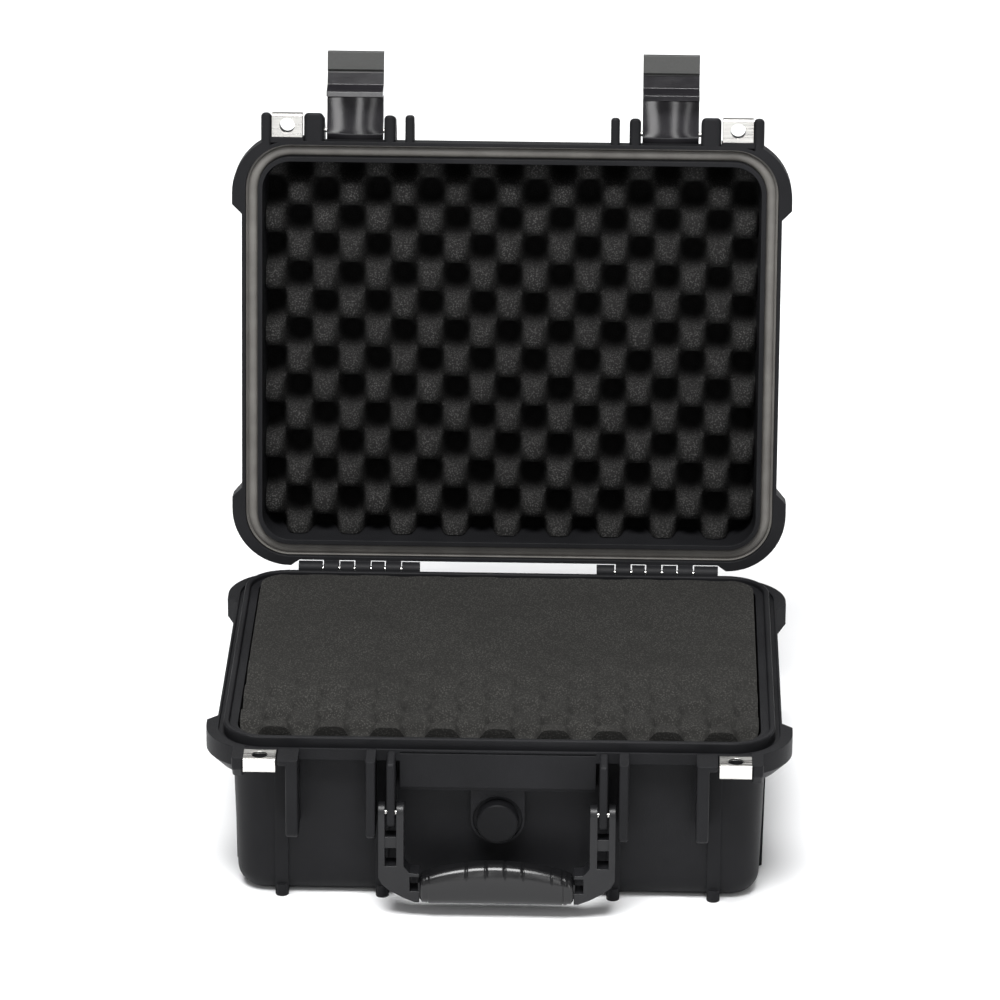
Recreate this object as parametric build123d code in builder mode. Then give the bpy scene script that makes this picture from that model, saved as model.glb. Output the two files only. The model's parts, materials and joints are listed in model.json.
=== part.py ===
from build123d import *
import math
import os

os.makedirs("parts", exist_ok=True)

# Hard equipment case. Millimetres, +X to the right, +Y to the back, +Z up. The origin is the
# centre of the underside. The lid is drawn closed and then swung open about the hinge pins.

# ---- the two rims ---------------------------------------------------------------------------
RIM_X = 165.0  # half width of each rim flange
RIM_Y = 131.5  # half depth of each rim flange
RIM_R = 30.0  # plan radius of the flange corners
RIM_Z = 101.0  # parting plane, top of the base flange
PARTING_GAP = 0.4
LID_Z = RIM_Z + PARTING_GAP  # underside of the closed lid's flange
FLANGE_H = 9.0
SKIRT_T = 2.8
CHANNEL_DEPTH = 3.0
STEP_H = 2.0  # the base flange is this much lower outside the sealing ridge
MOAT = (1.3, 4.3)  # groove round the ridge, by its insets
MOAT_DEPTH = 2.0
RIDGE_INSET = 6.0  # centre line of the sealing ridge and of the gasket groove
RIDGE_W = 3.4
RIDGE_H = 3.0
GROOVE_W = 7.6
GROOVE_DEPTH = 6.6
GASKET_RECESS = 3.4

# ---- tub and lid walls ----------------------------------------------------------------------
WALL_INSET = 9.5  # from the flange edge to the outside of the wall
CAVITY_INSET = 12.6  # from the flange edge to the inside of the wall
WALL_X = RIM_X - WALL_INSET
WALL_Y = RIM_Y - WALL_INSET
BASE_DRAFT = 1.8  # degrees
LID_DRAFT = 3.0  # degrees
FLOOR_T = 5.0
LID_TOP_T = 3.4
LID_TOP_Z = 152.0
BOTTOM_R = 13.0
LID_EDGE_R = 11.0
INNER_R = 8.0
POCKET_DEPTH = 1.5

# ---- corner ears ----------------------------------------------------------------------------
EAR_X = 171.0
EAR_Y = 135.1
EAR_R = 36.0
EAR_H = 14.0
EAR_GUSSET_H = 8.0
EAR_BACK_END_X = 129.5
EAR_FRONT_END_X = 148.0
EAR_END_Y = 86.0

# ---- fins, ribs and tabs on the front -------------------------------------------------------
FIN_Y = 150.0  # how far forward the latch guards reach
SHORT_FIN_Y = 148.3
LID_FIN_Y = 149.3
FIN_BREAK_Y = -144.6  # the lid's fins fall away to here, then run back to the lid
FIN_BREAK_Z = 120.3
FIN_FOOT_Z = 48.5
FIN_NOSE = 1.4
GUARD_X = 121.0  # outer latch guard
GUARD_W = 12.1
BASE_GUARD_X = 118.6
BASE_GUARD_W = 7.2
INNER_GUARD_X = 74.7
INNER_GUARD_W = 7.0
BASE_INNER_GUARD_X = 73.1
BASE_INNER_GUARD_W = 5.5
THIN_FIN_X = 62.6
THIN_FIN_W = 5.5
CORNER_FIN_X = 150.0
CORNER_FIN_W = 6.6
BRACKET_X = 61.4
BRACKET_W = 4.9
RIB_X = (126.2, 67.5)
RIB_W = 7.6
RIB_PROUD = 1.2
FOOT_R = 3.7
FOOT_Y = WALL_Y - 2.9  # round feet at the bottom of the ribs
SIDE_RIB_Y = 68.0
PANEL_X = 56.8
PANEL_Y = RIM_Y
PANEL_FOOT_Z = 75.5
PANEL_LINE_Z = (96.6, 97.8)
LEDGE_Y = 129.3
LEDGE_H = 2.7

# ---- padlock tabs and their steel clips -----------------------------------------------------
PADLOCK_X = 137.3
PADLOCK_Y = 141.2
PADLOCK_R = 4.6
PLATE_T = 1.2
PLATE_W = 18.6
PLATE_H = 8.4
PLATE_BACK_Y = 134.0
PLATE_FRONT_Y = 148.2
TAB_W = 17.2
CLIP_FIT = 0.1

# ---- hinges ---------------------------------------------------------------------------------
HINGE_Y = RIM_Y + 5.1
HINGE_Z = RIM_Z + PARTING_GAP / 2
HINGE_OUTER_X = 129.7
KNUCKLE_R = 4.6
HINGE_PIN_R = 1.6
KNUCKLE_GAP = 0.8
# owner and width of each knuckle, from the outer end of a hinge inwards
KNUCKLES = (
    ("base", 14.7), ("lid", 9.3), ("base", 8.6), ("lid", 9.3), ("base", 8.0), ("lid", 9.3), ("base", 11.0),
)
LID_ANGLE = 98.0  # how far the lid opens, to its stop

# ---- latches --------------------------------------------------------------------------------
LATCH_X = 96.3
LATCH_W = 34.4
LATCH_PIN_Y = -136.5
LATCH_PIN_Z = RIM_Z + 12.8
LATCH_PIN_R = 1.5
LEVER_PIN_Y = -141.5
LEVER_PIN_Z = RIM_Z - 4.7
LEVER_PIN_R = 1.0
LINK_BARREL_R = 4.0
LEVER_BARREL_R = 3.4
BARREL_CLEAR = 0.35  # from the lever's barrel to the hollow it turns in
LATCH_FACE_Y = -145.5
LINK_PLATE_T = 3.2
LEVER_PLATE_T = 3.0
LUG_W = 4.0
HEEL = 7.5  # how far the link goes on past the lid's pin, to the lid's edge
HEEL_BACK = 2.7
CHEEK_T = 2.2  # side walls of the link
CHEEK_DEPTH = 3.6
HOOK_TIP_Y = -127.3
HOOK_TOP_Z = RIM_Z - FLANGE_H - 0.4
HOOK_T = 3.0
HOOK_SLOPE = (12.4, 5.5)  # the slope under the hook starts and ends this far below the hook's top
HOOK_SLOPE_OUT = 2.6
LEVER_END_Z = LATCH_PIN_Z - 47.4
TAB_END_H = 12.0

# ---- handle ---------------------------------------------------------------------------------
HANDLE_Y = -143.5
HANDLE_Z = 64.9
HANDLE_PIN_R = 1.5
ARM_HALF = 6.0  # half depth of the arms, and radius of their bosses
OUTER_ARM = (64.9, 68.6)
INNER_ARM = (53.9, 58.1)
WEB_Z = (44.0, 51.0)
GRIP_HALF = 44.6
GRIP_DEPTH = 17.0
GRIP_FOOT_Z = 9.3
GRIP_END_H = 16.9
GRIP_MID_H = 24.6
CORE_W = 8.0
CORE_Z = (12.6, 21.6)

# ---- valve, every Y below is how far forward a face stands -----------------------------------
KNOB_Z = 53.6
KNOB_FACE_Y = 134.5
KNOB_BACK_Y = 126.5
KNOB_R = 12.2
PAD_R = 15.7
PAD_Y = 127.0
CUP_R = 14.4
CUP_Y = 125.0
VALVE_INNER_Y = 121.8
VALVE_STEM_R = 5.9
VALVE_NECK_R = 3.0

# ---- running and press fits -----------------------------------------------------------------
RUNNING = 0.05
FOAM_GAP = 0.5

# ---- foam -----------------------------------------------------------------------------------
LID_FOAM_RECESS = 12.0  # from the lid's parting face to the peaks of its foam
FLOOR_PAD_TOP_Z = 20.0
FOAM_BLOCK_TOP_Z = 79.5
BASE_FOAM_TOP_Z = 104.6


def rim_outline(inset, mode=Mode.ADD):
    """The flange outline, moved inwards by inset."""
    RectangleRounded(2 * (RIM_X - inset), 2 * (RIM_Y - inset), RIM_R - inset, mode=mode)


def ear_corners():
    """Four areas, seen from above, that the corner ears stay inside."""
    for sx, sy in ((1, 1), (-1, 1), (-1, -1), (1, -1)):
        end_x = EAR_BACK_END_X if sy > 0 else EAR_FRONT_END_X
        corner = (
            (end_x, 104), (end_x, RIM_Y), (end_x + 7, RIM_Y + 5), (end_x + 7, RIM_Y + 20),
            (RIM_X + 20, RIM_Y + 20), (RIM_X + 20, EAR_END_Y + 6), (RIM_X + 6, EAR_END_Y + 6),
            (RIM_X, EAR_END_Y), (140, EAR_END_Y), (140, 104),
        )
        Polygon(*[(sx * x, sy * y) for x, y in corner])


def corner_ears(z, height):
    """Four proud ears from z to z + height, with a gusset beyond that runs back to the wall."""
    direction = math.copysign(1, height)
    with BuildPart() as ears:
        with BuildSketch(Plane.XY.offset(z)):
            RectangleRounded(2 * EAR_X, 2 * EAR_Y, EAR_R)
        extrude(amount=height)
        with BuildSketch(Plane.XY.offset(z + height)):
            RectangleRounded(2 * EAR_X, 2 * EAR_Y, EAR_R)
        extrude(amount=direction * EAR_GUSSET_H, taper=45)
        with BuildSketch(Plane.XY.offset(z)):
            ear_corners()
        extrude(amount=height + direction * EAR_GUSSET_H, mode=Mode.INTERSECT)
    return ears.part


def upright(x, width, profile, radius, nose=0.0):
    """A fin or rib centred on x, from its rounded side profile of (y, z) points.

    The nose radius softens its two front edges.
    """
    with BuildPart() as rib:
        with BuildSketch(Plane.YZ.offset(x)):
            with BuildLine():
                FilletPolyline(*profile, radius=radius, close=True)
            make_face()
        extrude(amount=width / 2, both=True)
        if nose > 0:
            fillet(rib.edges().filter_by(Axis.Z).group_by(Axis.Y)[0], nose)
    add(rib.part)


def cross_hole(x, width, y, z, radius, mode=Mode.SUBTRACT):
    """A round hole or bar along X, centred on x."""
    with BuildSketch(Plane.YZ.offset(x)) as section:
        with Locations((y, z)):
            Circle(radius)
    extrude(section.sketch, amount=width / 2, both=True, mode=mode)


def block(x, y, z, mode=Mode.ADD):
    """A plain block between two limits on each axis."""
    with Locations(((x[0] + x[1]) / 2, (y[0] + y[1]) / 2, (z[0] + z[1]) / 2)):
        Box(abs(x[1] - x[0]), abs(y[1] - y[0]), abs(z[1] - z[0]), mode=mode)


def knuckle_spans(owner):
    """Centre x and width of each knuckle of one owner, on the right-hand hinge."""
    spans = []
    x = HINGE_OUTER_X
    for name, width in KNUCKLES:
        if name == owner:
            spans.append((x - width / 2, width))
        x -= width + KNUCKLE_GAP
    return spans


def hinge_lugs(owner, bore):
    """Knuckles on both hinges, each on a gusset that runs into its own flange."""
    up = 1 if owner == "lid" else -1
    gusset = (
        (RIM_Y - 2, HINGE_Z + up * 0.2), (HINGE_Y, HINGE_Z + up * 0.2), (HINGE_Y + KNUCKLE_R - 0.1, HINGE_Z),
        (HINGE_Y + KNUCKLE_R - 0.8, HINGE_Z + up * 2.7), (RIM_Y + 1.5, HINGE_Z + up * 9.1),
        (RIM_Y - 2, HINGE_Z + up * 9.1),
    )
    for x, width in knuckle_spans(owner):
        for side in (-1, 1):
            with BuildSketch(Plane.YZ.offset(side * x)) as lug:
                Polygon(*gusset)
                with Locations((HINGE_Y, HINGE_Z)):
                    Circle(KNUCKLE_R)
            extrude(lug.sketch, amount=width / 2, both=True)
            cross_hole(side * x, width, HINGE_Y, HINGE_Z, bore)


# Moves that carry a closed part to where it rests. The latch also swings straight out on its pin.
LID_OPEN = Pos(0, HINGE_Y, HINGE_Z) * Rot(-LID_ANGLE, 0, 0) * Pos(0, -HINGE_Y, -HINGE_Z)
LATCH_OUT = Pos(0, LATCH_PIN_Y, LATCH_PIN_Z) * Rot(-90, 0, 0) * Pos(0, -LATCH_PIN_Y, -LATCH_PIN_Z)
SIDES = ((-1, "left"), (1, "right"))

# ---- base shell -----------------------------------------------------------------------------
tub_h = RIM_Z - FLANGE_H
step_z = RIM_Z - STEP_H
with BuildPart() as base_shell:
    with BuildSketch(Plane.XY.offset(tub_h)):
        rim_outline(WALL_INSET)
    extrude(amount=-tub_h, taper=BASE_DRAFT)
    fillet(base_shell.faces().sort_by(Axis.Z)[0].edges(), BOTTOM_R)
    with BuildSketch(Plane.XY.offset(RIM_Z)):
        rim_outline(0)
    extrude(amount=-FLANGE_H)
    with BuildSketch(Plane.XY.offset(tub_h)):
        rim_outline(SKIRT_T)
        rim_outline(WALL_INSET - 1, mode=Mode.SUBTRACT)
    extrude(amount=CHANNEL_DEPTH, mode=Mode.SUBTRACT)

    # corner ears, with a gusset below each
    add(corner_ears(RIM_Z, -EAR_H))

    # latch guards and handle brackets
    root_y = -WALL_Y + 4  # every fin starts inside the wall
    guard = (
        (root_y, RIM_Z), (-FIN_Y, RIM_Z), (-FIN_Y, FIN_FOOT_Z + 3), (-FIN_Y + 5, FIN_FOOT_Z),
        (root_y, FIN_FOOT_Z),
    )
    bracket = ((root_y, 98), (-FIN_Y, 98), (-FIN_Y, 57.6), (root_y, 57.6))
    guard_cap = ((root_y, RIM_Z), (-FIN_Y, RIM_Z), (-FIN_Y, 95.5), (root_y, 88))
    corner_fin = ((-118, RIM_Z), (-147, RIM_Z), (-147, 92), (-138, 84), (-118, 84))
    for side in (-1, 1):
        upright(side * BASE_GUARD_X, BASE_GUARD_W, guard, 2.5, FIN_NOSE)
        upright(side * BASE_INNER_GUARD_X, BASE_INNER_GUARD_W, guard, 2.5, FIN_NOSE)
        upright(side * BRACKET_X, BRACKET_W, bracket, 3, FIN_NOSE)
        upright(side * GUARD_X, GUARD_W, guard_cap, 2.5, FIN_NOSE)
        upright(side * CORNER_FIN_X, CORNER_FIN_W, corner_fin, 2.5, FIN_NOSE)

    # low ribs down to the floor, front and back, and on the two ends
    rib_y = WALL_Y + RIB_PROUD
    front_rib = ((-WALL_Y + 8, tub_h), (-rib_y, tub_h), (-rib_y + 2.6, 1), (-rib_y + 4, 0), (-WALL_Y + 14, 0))
    rib_x = WALL_X + 1.5
    for x in RIB_X:
        for side in (-1, 1):
            upright(side * x, RIB_W, front_rib, 0)
            upright(side * x, RIB_W, [(-y, z) for y, z in front_rib], 0)
    with BuildSketch(Plane.XY):
        for x in RIB_X:
            with GridLocations(2 * x, 2 * FOOT_Y, 2, 2):
                Circle(FOOT_R)
    extrude(amount=2 * FOOT_R)
    for side in (-1, 1):
        for y in (-SIDE_RIB_Y, SIDE_RIB_Y):
            with BuildSketch(Plane.XZ.offset(-y)):
                end_rib = (
                    (WALL_X - 8, tub_h), (rib_x, tub_h), (rib_x - 1.5, 1), (rib_x - 4, 0), (WALL_X - 14, 0),
                )
                Polygon(*[(side * x, z) for x, z in end_rib])
            extrude(amount=RIB_W / 2, both=True)

    # raised centre panel and the shield-shaped pad of the valve
    block((-PANEL_X, PANEL_X), (-PANEL_Y, -WALL_Y + 4), (PANEL_FOOT_Z, tub_h + 1))
    block((-PANEL_X, PANEL_X), (-LEDGE_Y, -WALL_Y + 4), (PANEL_FOOT_Z - LEDGE_H, PANEL_FOOT_Z + 1))
    block((-PANEL_X, PANEL_X), (-PANEL_Y - 1, -PANEL_Y + 1), PANEL_LINE_Z, mode=Mode.SUBTRACT)
    with BuildSketch(Plane.XZ.offset(PAD_Y)):
        with Locations((0, KNOB_Z)):
            Circle(PAD_R)
        with Locations((0, (KNOB_Z + PANEL_FOOT_Z) / 2)):
            Rectangle(2 * PAD_R, PANEL_FOOT_Z - KNOB_Z)
    extrude(amount=-10)

    # padlock tabs
    tab_x = TAB_W / 2
    for side in (-1, 1):
        x = side * PADLOCK_X
        tab_top = step_z - PLATE_T - CLIP_FIT
        tab_foot = step_z - PLATE_H + PLATE_T + CLIP_FIT
        tab_front = -PLATE_FRONT_Y + PLATE_T + CLIP_FIT
        block((x - tab_x, x + tab_x), (tab_front, -RIM_Y + 1), (tab_foot, tab_top))
        block((x - 10, x + 10), (-PLATE_BACK_Y + 0.4, -RIM_Y + 1), (RIM_Z - FLANGE_H, RIM_Z))

    # the flange steps down outside the sealing ridge, with a groove round the ridge
    with BuildSketch(Plane.XY.offset(step_z)):
        Rectangle(3 * RIM_X, 3 * RIM_Y)
        rim_outline(MOAT[1], mode=Mode.SUBTRACT)
    extrude(amount=STEP_H + 1, mode=Mode.SUBTRACT)
    with BuildSketch(Plane.XY.offset(step_z)):
        rim_outline(MOAT[0])
        rim_outline(MOAT[1], mode=Mode.SUBTRACT)
    extrude(amount=-MOAT_DEPTH, mode=Mode.SUBTRACT)

    hinge_lugs("base", HINGE_PIN_R)

    # the inside
    with BuildSketch(Plane.XY.offset(RIM_Z)):
        rim_outline(CAVITY_INSET)
    extrude(amount=-(RIM_Z - FLOOR_T), taper=BASE_DRAFT, mode=Mode.SUBTRACT)
    floor_face = base_shell.faces().filter_by(Axis.Z).filter_by_position(Axis.Z, FLOOR_T - 0.1, FLOOR_T + 0.1)
    fillet(floor_face.edges(), INNER_R)

    # sealing ridge
    with BuildSketch(Plane.XY.offset(RIM_Z)):
        rim_outline(RIDGE_INSET - RIDGE_W / 2)
        rim_outline(RIDGE_INSET + RIDGE_W / 2, mode=Mode.SUBTRACT)
    extrude(amount=RIDGE_H)
    crest_z = RIM_Z + RIDGE_H
    crest = base_shell.faces().filter_by(Axis.Z).filter_by_position(Axis.Z, crest_z - 0.1, crest_z + 0.1)
    fillet(crest.edges(), 1.0)

    # bores of the handle pins and padlock holes
    for side in (-1, 1):
        cross_hole(side * BRACKET_X, 2 * BRACKET_W, HANDLE_Y, HANDLE_Z, HANDLE_PIN_R)
        with BuildSketch(Plane.XY.offset(RIM_Z)):
            with Locations((side * PADLOCK_X, -PADLOCK_Y)):
                Circle(PADLOCK_R)
        extrude(amount=-2 * PLATE_H, mode=Mode.SUBTRACT)

    # cup round the knob, recess for the nut behind it, and the valve's own hole
    for plane_y, radius, depth in (
        (PAD_Y, CUP_R, PAD_Y - CUP_Y), (VALVE_INNER_Y, 12.0, 8.0), (PAD_Y, VALVE_STEM_R + 0.1, 12.0),
    ):
        with BuildSketch(Plane.XZ.offset(plane_y)):
            with Locations((0, KNOB_Z)):
                Circle(radius)
        extrude(amount=-depth, mode=Mode.SUBTRACT)

    # shallow pockets leave a rim and a cross on the underside to stand on
    with BuildSketch(Plane.XY):
        with GridLocations(142, 112, 2, 2):
            RectangleRounded(124, 94, 8)
    extrude(amount=POCKET_DEPTH, mode=Mode.SUBTRACT)

# ---- lid shell, closed ----------------------------------------------------------------------
lid_flange_top = LID_Z + FLANGE_H
with BuildPart() as lid_shell:
    with BuildSketch(Plane.XY.offset(lid_flange_top)):
        rim_outline(WALL_INSET)
    extrude(amount=LID_TOP_Z - lid_flange_top, taper=LID_DRAFT)
    fillet(lid_shell.faces().sort_by(Axis.Z)[-1].edges(), LID_EDGE_R)
    with BuildSketch(Plane.XY.offset(LID_Z)):
        rim_outline(0)
    extrude(amount=FLANGE_H)

    add(corner_ears(LID_Z, EAR_H))

    # latch guards that carry the pins, thin fins over the handle, corner fins
    inside = -WALL_Y + 5
    guard = (
        (inside, LID_Z), (-LID_FIN_Y, LID_Z), (FIN_BREAK_Y, FIN_BREAK_Z), (-137, FIN_BREAK_Z + 8),
        (inside, 138),
    )
    short = [(max(y, -SHORT_FIN_Y), z) for y, z in guard]
    low = ((inside, LID_Z), (-LID_FIN_Y, LID_Z), (-147, 110.5), (-140, 117), (inside, 126))
    low_short = [(max(y, -SHORT_FIN_Y), z) for y, z in low]
    for side in (-1, 1):
        upright(side * GUARD_X, GUARD_W, guard, 1.5, 2 * FIN_NOSE)
        upright(side * INNER_GUARD_X, INNER_GUARD_W, short, 1.5, 2 * FIN_NOSE)
        upright(side * THIN_FIN_X, THIN_FIN_W, low_short, 1.5, 1.5 * FIN_NOSE)
        upright(side * CORNER_FIN_X, CORNER_FIN_W, low, 1.5, 2 * FIN_NOSE)

    # padlock tabs
    for side in (-1, 1):
        x = side * PADLOCK_X
        tab_foot = LID_Z + PLATE_T + CLIP_FIT
        tab_top = LID_Z + PLATE_H - PLATE_T - CLIP_FIT
        tab_front = -PLATE_FRONT_Y + PLATE_T + CLIP_FIT
        block((x - tab_x, x + tab_x), (tab_front, -RIM_Y + 1), (tab_foot, tab_top))
        block((x - 10, x + 10), (-PLATE_BACK_Y + 0.4, -RIM_Y + 1), (LID_Z, LID_Z + FLANGE_H))

    hinge_lugs("lid", HINGE_PIN_R + RUNNING)

    # the inside
    with BuildSketch(Plane.XY.offset(LID_Z)):
        rim_outline(CAVITY_INSET)
    extrude(amount=LID_TOP_Z - LID_TOP_T - LID_Z, taper=LID_DRAFT, mode=Mode.SUBTRACT)
    roof_z = LID_TOP_Z - LID_TOP_T
    roof = lid_shell.faces().filter_by(Axis.Z).filter_by_position(Axis.Z, roof_z - 0.1, roof_z + 0.1)
    fillet(roof.edges(), INNER_R)

    # gasket groove
    with BuildSketch(Plane.XY.offset(LID_Z)):
        rim_outline(RIDGE_INSET - GROOVE_W / 2)
        rim_outline(RIDGE_INSET + GROOVE_W / 2, mode=Mode.SUBTRACT)
    extrude(amount=GROOVE_DEPTH, mode=Mode.SUBTRACT)

    # bores of the latch pins and padlock holes
    for side in (-1, 1):
        for x, width in ((GUARD_X, GUARD_W), (INNER_GUARD_X, INNER_GUARD_W)):
            cross_hole(side * x, 1.5 * width, LATCH_PIN_Y, LATCH_PIN_Z, LATCH_PIN_R)
        with BuildSketch(Plane.XY.offset(LID_Z)):
            with Locations((side * PADLOCK_X, -PADLOCK_Y)):
                Circle(PADLOCK_R)
        extrude(amount=2 * PLATE_H, mode=Mode.SUBTRACT)

    # sunk panel with low ribs on the outside of the lid
    with BuildSketch(Plane.XY.offset(LID_TOP_Z)):
        RectangleRounded(220, 150, 12)
    extrude(amount=-1.2, mode=Mode.SUBTRACT)
    with BuildSketch(Plane.XY.offset(LID_TOP_Z)):
        with GridLocations(0, 30, 1, 4):
            SlotOverall(190, 9)
    extrude(amount=-1.6)

# ---- the foam pieces ------------------------------------------------------------------------
base_inset = CAVITY_INSET + FOAM_GAP
FOAM_LAYERS = (
    ("base_foam_floor", FLOOR_T + 0.2, FLOOR_PAD_TOP_Z),
    ("base_foam_block", FLOOR_PAD_TOP_Z, FOAM_BLOCK_TOP_Z),
)
for foam_name, low_z, high_z in FOAM_LAYERS:
    narrowing = (RIM_Z - low_z) * math.tan(math.radians(BASE_DRAFT))
    with BuildPart() as foam:
        with BuildSketch(Plane.XY.offset(low_z)):
            rim_outline(base_inset + narrowing)
        extrude(amount=high_z - low_z)
        if low_z < 10:
            fillet(foam.faces().sort_by(Axis.Z)[0].edges(), INNER_R + 1)
    foam.part.label = foam_name
    export_step(foam.part, f"parts/{foam_name}.step")

with BuildPart() as base_foam_top:
    narrowing = (RIM_Z - FOAM_BLOCK_TOP_Z) * math.tan(math.radians(BASE_DRAFT))
    with BuildSketch(Plane.XY.offset(FOAM_BLOCK_TOP_Z)):
        rim_outline(base_inset + narrowing)
    extrude(amount=BASE_FOAM_TOP_Z - FOAM_BLOCK_TOP_Z)

with BuildPart() as lid_foam:
    foam_top_z = LID_TOP_Z - LID_TOP_T - 0.3
    foam_face_z = LID_Z + LID_FOAM_RECESS
    with BuildSketch(Plane.XY.offset(foam_face_z)):
        rim_outline(CAVITY_INSET + FOAM_GAP + LID_FOAM_RECESS * math.tan(math.radians(LID_DRAFT)))
    extrude(amount=foam_top_z - foam_face_z, taper=LID_DRAFT)
    fillet(lid_foam.faces().sort_by(Axis.Z)[-1].edges(), INNER_R + 1)

with BuildPart() as lid_gasket:
    with BuildSketch(Plane.XY.offset(LID_Z + GASKET_RECESS)):
        rim_outline(RIDGE_INSET - GROOVE_W / 2 + 0.1)
        rim_outline(RIDGE_INSET + GROOVE_W / 2 - 0.1, mode=Mode.SUBTRACT)
    extrude(amount=GROOVE_DEPTH - GASKET_RECESS)

# ---- valve ----------------------------------------------------------------------------------
with BuildPart() as valve_body:
    for plane_y, radius, depth in (
        (128.3, 10.0, 1.5), (128.3, VALVE_STEM_R, 11.5), (132.6, VALVE_NECK_R, 6.0),
    ):
        with BuildSketch(Plane.XZ.offset(plane_y)):
            with Locations((0, KNOB_Z)):
                Circle(radius)
        extrude(amount=-depth)

with BuildPart() as valve_o_ring:
    with BuildSketch(Plane.YZ):
        with Locations((-CUP_Y - 0.9, KNOB_Z + 7.6)):
            Circle(0.88)
    revolve(axis=Axis((0, 0, KNOB_Z), (0, 1, 0)), revolution_arc=360)

with BuildPart() as valve_nut:
    with BuildSketch(Plane.XZ.offset(VALVE_INNER_Y)):
        with Locations((0, KNOB_Z)):
            RegularPolygon(8.5, 6)
            Circle(VALVE_STEM_R + RUNNING, mode=Mode.SUBTRACT)
    extrude(amount=-3.0)

with BuildPart() as valve_knob:
    for plane_y, radius, depth, mode in (
        (KNOB_FACE_Y, KNOB_R, KNOB_FACE_Y - KNOB_BACK_Y, Mode.ADD), (128.8, 10.5, 4.0, Mode.SUBTRACT),
        (132.9, VALVE_NECK_R + RUNNING, 6.0, Mode.SUBTRACT),
    ):
        with BuildSketch(Plane.XZ.offset(plane_y)):
            with Locations((0, KNOB_Z)):
                Circle(radius)
        extrude(amount=-depth, mode=mode)
    fillet(valve_knob.faces().sort_by(Axis.Y)[0].edges(), 1.5)

# ---- handle ---------------------------------------------------------------------------------
arm_y = (HANDLE_Y - ARM_HALF, HANDLE_Y + ARM_HALF)
with BuildPart() as handle_frame:
    with BuildSketch(Plane.XZ.offset(-arm_y[1])):
        # outline of one foot from the middle outwards: the slot beside the grip, the forks, the lower edge
        right = (
            (0, 17), (50.4, 17), (50.4, 26.4), (45, 26.4), (45, 28.2), (50.4, 28.6),
            (INNER_ARM[0], 33), (OUTER_ARM[1], 33), (OUTER_ARM[1], 25.5),
            (66.6, 21.4), (62, 17.4), (54, 12.9), (47.5, 10.2), (0, 10.2),
        )
        Polygon(*right)
        Polygon(*[(-x, z) for x, z in right])
    extrude(amount=2 * ARM_HALF)
    block((-GRIP_HALF - 0.2, GRIP_HALF + 0.2), arm_y, (0, 40), mode=Mode.SUBTRACT)
    block((-GRIP_HALF - 1, GRIP_HALF + 1), (HANDLE_Y - CORE_W / 2, HANDLE_Y + CORE_W / 2), CORE_Z)
    for side in (-1, 1):
        for low_x, high_x in (OUTER_ARM, INNER_ARM):
            x = side * (low_x + high_x) / 2
            cross_hole(x, high_x - low_x, HANDLE_Y, HANDLE_Z, ARM_HALF, mode=Mode.ADD)
            block((x - (high_x - low_x) / 2, x + (high_x - low_x) / 2), arm_y, (30, HANDLE_Z))
        block((side * INNER_ARM[0], side * OUTER_ARM[1]), (arm_y[0] + 1.5, arm_y[1] - 1.5), WEB_Z)
    for side in (-1, 1):
        cross_hole(side * BRACKET_X, 24, HANDLE_Y, HANDLE_Z, HANDLE_PIN_R + RUNNING)

with BuildPart() as handle_grip:
    for fraction in (-1, -0.55, 0, 0.55, 1):
        height = GRIP_MID_H - (GRIP_MID_H - GRIP_END_H) * fraction**2
        with BuildSketch(Plane.YZ.offset(fraction * GRIP_HALF)):
            with Locations((HANDLE_Y, GRIP_FOOT_Z + height / 2)):
                Ellipse(GRIP_DEPTH / 2, height / 2)
    loft()
    block(
        (-GRIP_HALF - 1, GRIP_HALF + 1), (HANDLE_Y - CORE_W / 2 - RUNNING, HANDLE_Y + CORE_W / 2 + RUNNING),
        (CORE_Z[0] - RUNNING, CORE_Z[1] + RUNNING), mode=Mode.SUBTRACT,
    )

# ---- write the pieces that need no mirror image ---------------------------------------------
SINGLE = (
    ("base_shell", base_shell, None), ("lid_shell", lid_shell, LID_OPEN),
    ("base_foam_top", base_foam_top, None),
    ("lid_foam", lid_foam, LID_OPEN), ("lid_gasket", lid_gasket, LID_OPEN), ("valve_body", valve_body, None),
    ("valve_o_ring", valve_o_ring, None), ("valve_nut", valve_nut, None), ("valve_knob", valve_knob, None),
    ("handle_frame", handle_frame, None), ("handle_grip", handle_grip, None),
)


def write_piece(name, builder, move):
    """Write one finished piece, carried to its resting place first."""
    shape = builder.part if move is None else builder.part.moved(move)
    shape.label = name
    export_step(shape, f"parts/{name}.step")


for name, builder, move in SINGLE:
    write_piece(name, builder, move)

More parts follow.
